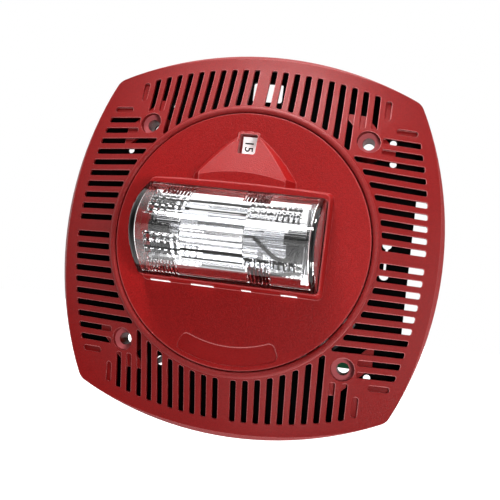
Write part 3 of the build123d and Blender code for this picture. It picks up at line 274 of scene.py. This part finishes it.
def make_materials():
    return {
        "red_plastic": moulded_red("red_plastic", (0.24, 0.004, 0.004), 0.38,
                                   (0.21, 0.003, 0.003), (0.31, 0.006, 0.006)),
        "red_plastic_grille": moulded_red("red_plastic_grille", (0.18, 0.003, 0.003), 0.40,
                                          (0.155, 0.002, 0.002), (0.235, 0.004, 0.004)),
        # a paler copy of the red plastic: painted highlight on the counterbore floors
        "red_plastic_painted_highlight": shader("red_plastic_painted_highlight", (0.50, 0.11, 0.12), 0.35, specular=0.3),
        "black_plastic": grain(shader("black_plastic", (0.012, 0.012, 0.013), 0.5),
                               BLACK_GRAIN_SCALE, (0.010, 0.010, 0.011), (0.016, 0.016, 0.018),
                               BLACK_GRAIN_BUMP, BLACK_GRAIN_DEPTH),
        # frame_black is far darker and duller than black_plastic: the frame's own black, darkened further as
        # painted shade for the dark seen through the slots
        "frame_black": shader("frame_black", (0.002, 0.002, 0.002), 0.7, specular=0.03),
        "clear_lens": glass("clear_lens", (1, 1, 1), 0.0, 1.5),
        "tube_glass": glass("tube_glass", (0.85, 0.86, 0.88), 0.0, 1.47),
        "clear_silicone": glass("clear_silicone", (0.95, 0.80, 0.80), 0.35, 1.41),
        "mirror": shader("mirror", (0.95, 0.95, 0.97), 0.06, 1.0),
        "black_rubber": shader("black_rubber", (0.004, 0.004, 0.004), 0.15),
        "black_wire": shader("black_wire", (0.004, 0.004, 0.004), 0.4, specular=0.2),
        "red_wire": shader("red_wire", (0.45, 0.015, 0.012), 0.4),
        "grey_cable": shader("grey_cable", (0.25, 0.25, 0.26), 0.45),
        "board_green": shader("board_green", (0.02, 0.16, 0.07), 0.35),
        "nylon": shader("nylon", (0.75, 0.73, 0.68), 0.45),
        "capacitor_sleeve": shader("capacitor_sleeve", (0.02, 0.03, 0.09), 0.35),
        "resin_amber": shader("resin_amber", (0.50, 0.20, 0.03), 0.3),
        "ferrite": shader("ferrite", (0.05, 0.05, 0.055), 0.6),
        "chip_black": shader("chip_black", (0.02, 0.02, 0.02), 0.45),
        "zinc_steel": shader("zinc_steel", (0.60, 0.60, 0.62), 0.3, 1.0),
        # the white label also glows faintly: painted light that keeps it and the wall marks bright
        "label_white": shader("label_white", (0.95, 0.95, 0.95), 0.5,
                              Emission_Color=(1, 1, 1, 1), Emission_Strength=0.4),
        "label_ink": shader("label_ink", (0.06, 0.06, 0.06), 0.5),
        "basket_steel": shader("basket_steel", (0.38, 0.38, 0.40), 0.35, 0.9),
        "gasket_paper": shader("gasket_paper", (0.05, 0.05, 0.05), 0.9),
        "surround_cloth": shader("surround_cloth", (0.02, 0.02, 0.02), 0.85),
        "spider_cloth": shader("spider_cloth", (0.45, 0.30, 0.14), 0.85),
        "cone_paper": shader("cone_paper", (0.03, 0.03, 0.032), 0.8),
        "aluminium_foil": shader("aluminium_foil", (0.75, 0.75, 0.77), 0.3, 1.0),
        "copper": shader("copper", (0.72, 0.32, 0.18), 0.3, 1.0),
        "fibre_board": shader("fibre_board", (0.38, 0.27, 0.15), 0.7),
        "core_steel": shader("core_steel", (0.30, 0.30, 0.32), 0.45, 0.9),
        "winding_tape": shader("winding_tape", (0.65, 0.50, 0.08), 0.4),
        "terminal_green": shader("terminal_green", (0.03, 0.28, 0.12), 0.4),
        "brass": shader("brass", (0.72, 0.53, 0.22), 0.3, 1.0),
    }


def node_slots():
    """The record's slot of each CAD node."""
    return {part["node"]: part["material_slot"] for part in frame["record"]["subparts"]}


# ---------------------------------------------------------------- meshes
# From here on sizes and places are in mm: x right, y up the wall, z out of the wall.
def piece(name, verts, faces, slot, body="base"):
    """A flat-shaded mesh from its points and faces."""
    mesh = bpy.data.meshes.new(name)
    mesh.from_pydata([(x * MM, -z * MM, y * MM) for x, y, z in verts], [], faces)
    work = bmesh.new()
    work.from_mesh(mesh)
    bmesh.ops.recalc_face_normals(work, faces=work.faces)
    work.to_mesh(mesh)
    work.free()
    mesh.materials.append(materials[slot])
    obj = bpy.data.objects.new(name, mesh)
    bpy.context.scene.collection.objects.link(obj)
    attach(obj, body)
    return obj


def prism(outline, extrude):
    """Vertices and faces of the solid between a closed outline and the same outline moved."""
    count = len(outline)
    moved = [tuple(a + b for a, b in zip(point, extrude)) for point in outline]
    sides = [(i, (i + 1) % count, count + (i + 1) % count, count + i) for i in range(count)]
    ends = [tuple(range(count)), tuple(reversed(range(count, 2 * count)))]
    return outline + moved, sides + ends


def joined(solids):
    """One vertex and face list from several."""
    verts, faces = [], []
    for solid_verts, solid_faces in solids:
        start = len(verts)
        verts += solid_verts
        faces += [tuple(start + i for i in face) for face in solid_faces]
    return verts, faces


def rod_between(start, end, radius, sides):
    """A round bar from one point to another."""
    axis = Vector(end) - Vector(start)
    across = axis.orthogonal().normalized()
    other = axis.normalized().cross(across)
    ring = []
    for i in range(sides):
        angle = 2 * pi * i / sides
        point = Vector(start) + across * radius * cos(angle) + other * radius * sin(angle)
        ring.append(tuple(point))
    return prism(ring, tuple(axis))


# ---------------------------------------------------------------- lens
LENS_X = -1.55
LENS_HALF_X = 36.25
LENS_LOW_Y = -18.1
LENS_HIGH_Y = 18.9
LENS_SEAT_Z = 30.8
LENS_SKIRT_Z = 37.4
LENS_APEX_Z = 58.0
LENS_T = 2.0
LENS_DRAFT = 0.044
LENS_EDGE_R = 1.2
LENS_STEP = 0.36
# points along the skirt, round an end's rounded edge, and over the arch outside and inside
SKIRT_POINTS = 5
TURN_POINTS = 5
OUTER_COLUMNS = 60
INNER_COLUMNS = 150
RIB_PITCH = 1.45
RIB_DEPTH = 0.55
FACET_PITCH = 3.2
FACET_DEPTH = 0.9
CROSS_PITCH = 2.0
CROSS_DEPTH = 0.5

# x from, x to, y from, y to, pitch along x, depth, pitch along y, depth
PRISM_ZONES = (
    (-28.5, -17.0, 12.5, 19.0, RIB_PITCH, RIB_DEPTH, 0, 0),
    (3.5, 14.0, 12.5, 19.0, RIB_PITCH, RIB_DEPTH, 0, 0),
    (-31.0, -20.0, -18.0, -11.5, RIB_PITCH, RIB_DEPTH, 0, 0),
    (8.0, 17.0, -18.0, -10.5, RIB_PITCH, RIB_DEPTH, 0, 0),
    (-17.0, 7.0, -10.5, 12.5, 0, 0, FACET_PITCH, FACET_DEPTH),
    (-31.0, -17.0, 4.0, 11.5, 2.6, 0.35, 2.4, 0.5),
    (-31.0, -17.0, -9.5, -2.5, 2.6, 0.35, 2.4, 0.5),
    (7.0, 27.0, 5.5, 12.0, CROSS_PITCH, CROSS_DEPTH, 2.6, 0.4),
    (7.0, 27.0, -10.5, -7.6, CROSS_PITCH, CROSS_DEPTH, 2.6, 0.4),
)


def lens_section(inset, columns):
    """Points and outward normals of the lens's section: skirt, arch and skirt."""
    mid = (LENS_HIGH_Y + LENS_LOW_Y) / 2
    half = (LENS_HIGH_Y - LENS_LOW_Y) / 2 - inset
    rise = LENS_APEX_Z - inset - LENS_SKIRT_Z
    step = (LENS_SKIRT_Z - LENS_SEAT_Z) / SKIRT_POINTS
    points = [(mid - half, LENS_SEAT_Z + step * i) for i in range(SKIRT_POINTS)]
    for i in range(columns + 1):
        across = -cos(pi * i / columns)
        points.append((mid + half * across, LENS_SKIRT_Z + rise * (1 - across**2)))
    points += [(2 * mid - y, z) for y, z in reversed(points[:SKIRT_POINTS])]
    normals = []
    for i in range(len(points)):
        a = points[max(i - 1, 0)]
        b = points[min(i + 1, len(points) - 1)]
        length = hypot(b[0] - a[0], b[1] - a[1])
        normals.append((-(b[1] - a[1]) / length, (b[0] - a[0]) / length))
    return points, normals


def saw(position, pitch):
    """0 to 1 to 0 over one pitch."""
    return 1 - abs(2 * ((position / pitch) % 1.0) - 1)


def prism_depth(x, y):
    """How far the moulded prisms stand in from the lens's inner face."""
    depth = 0.0
    for x_from, x_to, y_from, y_to, pitch_x, depth_x, pitch_y, depth_y in PRISM_ZONES:
        if x_from < x < x_to and y_from < y < y_to:
            depth += depth_x * saw(x, pitch_x) if pitch_x else 0
            depth += depth_y * saw(y, pitch_y) if pitch_y else 0
    return depth


def lens_shell(inset, columns, rounding, prisms):
    """Rows of vertices over one face of the lens, from the left end to the right."""
    points, normals = lens_section(inset, columns)
    half = LENS_HALF_X - inset
    flat = int(2 * (half - rounding) / LENS_STEP)
    # each row's place along the lens, and how far its section shrinks there
    rows = []
    for i in range(TURN_POINTS):
        angle = i * pi / 2 / TURN_POINTS
        rows.append((-half + rounding * (1 - cos(angle)), rounding * (1 - sin(angle))))
    rows += [(-half + rounding + 2 * (half - rounding) * i / flat, 0.0) for i in range(flat + 1)]
    rows += [(-along, shrink) for along, shrink in reversed(rows[:TURN_POINTS])]
    grid = []
    for along, shrink in rows:
        row = []
        for (y, z), (normal_y, normal_z) in zip(points, normals):
            x = LENS_X + along * (1 - LENS_DRAFT * (z - LENS_SEAT_Z) / half)
            depth = shrink * min(1.0, (z - LENS_SEAT_Z) / rounding) if shrink else 0.0
            if prisms:
                depth += prism_depth(x, y)
            row.append((x, y - normal_y * depth, max(z - normal_z * depth, LENS_SEAT_Z)))
        grid.append(row)
    return grid


def lens_mesh():
    """A hollow lens: a smooth outer shell, an inner shell with prisms, and the rim between them.

    The inner shell gets as many rows as the outer one, so that the rim can join them.
    """
    outer = lens_shell(0.0, OUTER_COLUMNS, LENS_EDGE_R, False)
    inner = lens_shell(LENS_T, INNER_COLUMNS, LENS_EDGE_R / 2, True)
    while len(inner) < len(outer):
        mid = len(inner) // 2
        pairs = zip(inner[mid - 1], inner[mid])
        inner.insert(mid, [tuple((a + b) / 2 for a, b in zip(p, q)) for p, q in pairs])
    verts = [point for grid in (outer, inner) for row in grid for point in row]
    wide, fine = len(outer[0]), len(inner[0])
    start = len(outer) * wide
    faces = []
    # each shell, and its two ends
    for offset, columns in ((0, wide), (start, fine)):
        for i in range(len(outer) - 1):
            for j in range(columns - 1):
                a = offset + i * columns + j
                faces.append((a, a + 1, a + columns + 1, a + columns))
        for i in (0, len(outer) - 1):
            first = offset + i * columns
            for j in range(columns // 2):
                left, right = first + j, first + columns - 1 - j
                if right - left > 2:
                    faces.append((left, left + 1, right - 1, right))
                elif right - left == 2:
                    faces.append((left, left + 1, right))
    # the rim along both sides, then at both ends
    for i in range(len(outer) - 1):
        for j_out, j_in in ((0, 0), (wide - 1, fine - 1)):
            a, b = i * wide + j_out, (i + 1) * wide + j_out
            c, d = start + (i + 1) * fine + j_in, start + i * fine + j_in
            faces.append((a, b, c, d))
    for i in (0, len(outer) - 1):
        faces.append((i * wide, i * wide + wide - 1, start + i * fine + fine - 1, start + i * fine))
    return verts, faces


def arch_top(y, inset):
    """Height of the lens's arch above a point of the section."""
    mid = (LENS_HIGH_Y + LENS_LOW_Y) / 2
    half = (LENS_HIGH_Y - LENS_LOW_Y) / 2 - inset
    return LENS_SKIRT_Z + (LENS_APEX_Z - inset - LENS_SKIRT_Z) * (1 - ((y - mid) / half) ** 2)


END_RIB_PITCH = 1.3
END_RIB_HALF_W = 0.585
END_RIB_DEPTH = 0.8
END_RIB_COUNT = 7
END_RIB_CLEAR = 6.0
END_RIB_LOW_Z = 37.9
END_RIB_HEADROOM = 0.6
END_RIB_LEAST = 1.5
# how far the pieces added to a wall sink into it
SINK = 0.05


def end_ribs():
    """Ribs inside the lens's left end, above and below its clear middle."""
    ribs = []
    mid = (LENS_HIGH_Y + LENS_LOW_Y) / 2
    wall = LENS_X - LENS_HALF_X + LENS_T + LENS_DRAFT * (END_RIB_LOW_Z - LENS_SEAT_Z)
    for way in (-1, 1):
        for k in range(END_RIB_COUNT):
            y = mid + way * (END_RIB_CLEAR + END_RIB_PITCH * k)
            arch = min(arch_top(y - END_RIB_PITCH, LENS_T), arch_top(y + END_RIB_PITCH, LENS_T))
            height = arch - END_RIB_HEADROOM - END_RIB_LOW_Z
            if height < END_RIB_LEAST:
                continue
            outline = [
                (wall - SINK, y - END_RIB_HALF_W, END_RIB_LOW_Z),
                (wall + END_RIB_DEPTH, y, END_RIB_LOW_Z),
                (wall - SINK, y + END_RIB_HALF_W, END_RIB_LOW_Z),
            ]
            ribs.append(prism(outline, (LENS_DRAFT * height, 0.0, height)))
    return joined(ribs)


# ---------------------------------------------------------------- small fittings
REFLECTOR_LEFT_X = -31.9
REFLECTOR_RIGHT_X = 29.3

# left and right ends of the four marks on the pedestal's lower wall
MARKS = ((-35.2, -27.0), (-17.8, -8.4), (3.4, 7.2), (19.6, 26.2))
MARK_LOW_Z = 23.5
MARK_HIGH_Z = 25.6
MARK_T = 0.15
# height and distance out of the two edges of the pedestal's lower wall
WALL_LOW = (-20.5, 23.25)
WALL_HIGH = (-19.0, 33.0)


def wall_marks():
    """Four plain white bars on the pedestal's lower wall."""
    slope = (WALL_HIGH[0] - WALL_LOW[0]) / (WALL_HIGH[1] - WALL_LOW[1])
    bars = []
    for left, right in MARKS:
        low_y = WALL_LOW[0] + slope * (MARK_LOW_Z - WALL_LOW[1]) + SINK
        high_y = WALL_LOW[0] + slope * (MARK_HIGH_Z - WALL_LOW[1]) + SINK
        outline = [
            (left, low_y, MARK_LOW_Z),
            (right, low_y, MARK_LOW_Z),
            (right, high_y, MARK_HIGH_Z),
            (left, high_y, MARK_HIGH_Z),
        ]
        bars.append(prism(outline, (0.0, -MARK_T - SINK, 0.0)))
    return joined(bars)


BAND_FROM = (-13.4, 0.24, 43.6)
BAND_TO = (9.4, 0.44, 43.6)
BAND_R = 0.55
BAND_SIDES = 12


def trigger_band():
    """The trigger wire along the front of the tube."""
    return rod_between(BAND_FROM, BAND_TO, BAND_R, BAND_SIDES)


LEAD_R = 0.85
LEAD_ROUNDNESS = 3
LEAD_ORDER = 3
# the points that pull the sleeve's curve, from the tube to the reflector's right end
LEAD_THROUGH = (
    (9.2, 0.2, 43.8),
    (13.7, -3.2, 43.5),
    (17.4, -6.1, 42.9),
    (20.7, -7.0, 42.4),
    (23.6, -6.1, 42.1),
    (25.0, -3.8, 41.3),
)


def lead_sleeve():
    """The thick black sleeve on the trigger lead, drawn as a round curve."""
    data = bpy.data.curves.new("trigger_lead_sleeve", "CURVE")
    data.dimensions = "3D"
    data.bevel_depth = LEAD_R * MM
    data.bevel_resolution = LEAD_ROUNDNESS
    data.use_fill_caps = True
    spline = data.splines.new("NURBS")
    spline.points.add(len(LEAD_THROUGH) - 1)
    for point, (x, y, z) in zip(spline.points, LEAD_THROUGH):
        point.co = (x * MM, -z * MM, y * MM, 1)
    spline.order_u = LEAD_ORDER
    spline.use_endpoint_u = True
    data.materials.append(materials["black_wire"])
    obj = bpy.data.objects.new("trigger_lead_sleeve", data)
    bpy.context.scene.collection.objects.link(obj)
    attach(obj, "base")


END_RIM_T = 0.5
# height and distance out of the corners of each end wall's edge
END_RIM_OUTLINE = ((-11.0, 40.6), (12.4, 40.6), (12.4, 42.6), (0.8, 43.6), (-11.0, 42.6))


def end_rims():
    """The dark outer edge of the reflector's two end walls."""
    bars = []
    for x in (REFLECTOR_LEFT_X, REFLECTOR_RIGHT_X):
        outline = [(x - END_RIM_T / 2, y, z) for y, z in END_RIM_OUTLINE]
        bars.append(prism(outline, (END_RIM_T, 0.0, 0.0)))
    return joined(bars)


SCREW_AT = 47.25
SEAT_Z = 11.0
SEAT_IN_R = 2.7
SEAT_OUT_R = 4.80
SEAT_T = 0.06
SEAT_SINK = 0.02
SEAT_SIDES = 32


def washer(at_x, at_y):
    """A thin ring on the floor of one counterbore, which carries a painted highlight."""
    verts = []
    for z in (SEAT_Z - SEAT_SINK, SEAT_Z + SEAT_T):
        for radius in (SEAT_IN_R, SEAT_OUT_R):
            for i in range(SEAT_SIDES):
                angle = 2 * pi * i / SEAT_SIDES
                verts.append((at_x + radius * cos(angle), at_y + radius * sin(angle), z))
    faces = []
    for i in range(SEAT_SIDES):
        j = (i + 1) % SEAT_SIDES
        for a, b in ((0, 1), (1, 3), (3, 2), (2, 0)):
            a_row, b_row = a * SEAT_SIDES, b * SEAT_SIDES
            faces.append((a_row + i, a_row + j, b_row + j, b_row + i))
    return verts, faces


def screw_seats():
    """The smooth floors of the four counterbores, made paler as a painted highlight."""
    return joined([washer(x, y) for y in (-SCREW_AT, SCREW_AT) for x in (-SCREW_AT, SCREW_AT)])


# ---------------------------------------------------------------- label
LABEL_Z = 20.35
LABEL_X = -1.5
LABEL_Y = 39.8
CELL_W = 6.0
RATINGS = ("15", "30", "75", "110")
DIGIT_OFFSET_X = -0.4
DIGIT_T = 0.03
DIGIT_SIZE = 5.0
# three digits are set smaller, to fit their cell
DIGIT_SIZE_SMALL = 3.9
DIGIT_WEIGHT = 0.10
DIGIT_CURVE_STEPS = 4


def ratings():
    """The selector's light output ratings, one in each cell of its label, reading downwards."""
    upright = Euler((pi / 2, 0, 0)).to_matrix() @ Euler((0, 0, -pi / 2)).to_matrix()
    for k, words in enumerate(RATINGS):
        data = bpy.data.curves.new(f"rating_{words}", "FONT")
        data.body = words
        data.size = (DIGIT_SIZE if len(words) < 3 else DIGIT_SIZE_SMALL) * MM
        data.extrude = DIGIT_T * MM
        data.align_x = "CENTER"
        data.align_y = "CENTER"
        data.resolution_u = DIGIT_CURVE_STEPS
        data.offset = DIGIT_WEIGHT * MM
        obj = bpy.data.objects.new(f"rating_{words}", data)
        x = LABEL_X + DIGIT_OFFSET_X + k * CELL_W
        obj.location = (x * MM, -(LABEL_Z + DIGIT_T) * MM, LABEL_Y * MM)
        obj.rotation_euler = upright.to_euler()
        data.materials.append(materials["label_ink"])
        bpy.context.scene.collection.objects.link(obj)
        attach(obj, "selector")


# ---------------------------------------------------------------- loudspeaker
# radii between which each round suspension bends: the one that stays and the one that moves
SUSPENSION = {"speaker_surround": (42.2, 36.4), "speaker_spider": (17.6, 10.5)}


def flexing(name, fixed_r, moving_r):
    """A copy of a round suspension that bends between the basket and the moving cone.

    bake_transform() sets its weights along a straight line, so they are set again by distance from the
    cone's axis.
    """
    mesh = nodes[name].data.copy()
    mesh.transform(nodes[name].matrix_world)
    obj = bpy.data.objects.new(f"{name}_flexing", mesh)
    bpy.context.scene.collection.objects.link(obj)
    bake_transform(obj, "base", "cone", start=(fixed_r * MM, 0, 0), end=(moving_r * MM, 0, 0))
    for vertex, weight in zip(mesh.vertices, mesh.attributes["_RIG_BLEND"].data):
        radius = hypot(vertex.co.x, vertex.co.z) / MM
        share = min(max((fixed_r - radius) / (fixed_r - moving_r), 0.0), 1.0)
        weight.value = share * share * (3 - 2 * share)
    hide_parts(name)


# ---------------------------------------------------------------- scene
# nodes whose material isn't the one that their slot names
FINISH = {"grille_plate": "red_plastic_grille"}

add_camera()
materials = make_materials()
add_floor()
add_lights()
slots = node_slots()
for name, node in nodes.items():
    node.data.materials.clear()
    node.data.materials.append(materials[FINISH.get(name, slots[name])])

lens = piece("strobe_lens_moulding", *lens_mesh(), "clear_lens")
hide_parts("strobe_lens")
piece("lens_end_ribs", *end_ribs(), "clear_lens")
# the marks share the white label's faint painted glow
piece("wall_marks", *wall_marks(), "label_white")
piece("trigger_band", *trigger_band(), "black_wire")
piece("reflector_end_rims", *end_rims(), "black_plastic")
lead_sleeve()
# the counterbore floors get a paler red: a painted highlight
seats = piece("screw_seats", *screw_seats(), "red_plastic")
seats.data.materials[0] = materials["red_plastic_painted_highlight"]
ratings()
for name, (fixed_r, moving_r) in SUSPENSION.items():
    flexing(name, fixed_r, moving_r)

bpy.context.scene.view_settings.view_transform = "Standard"
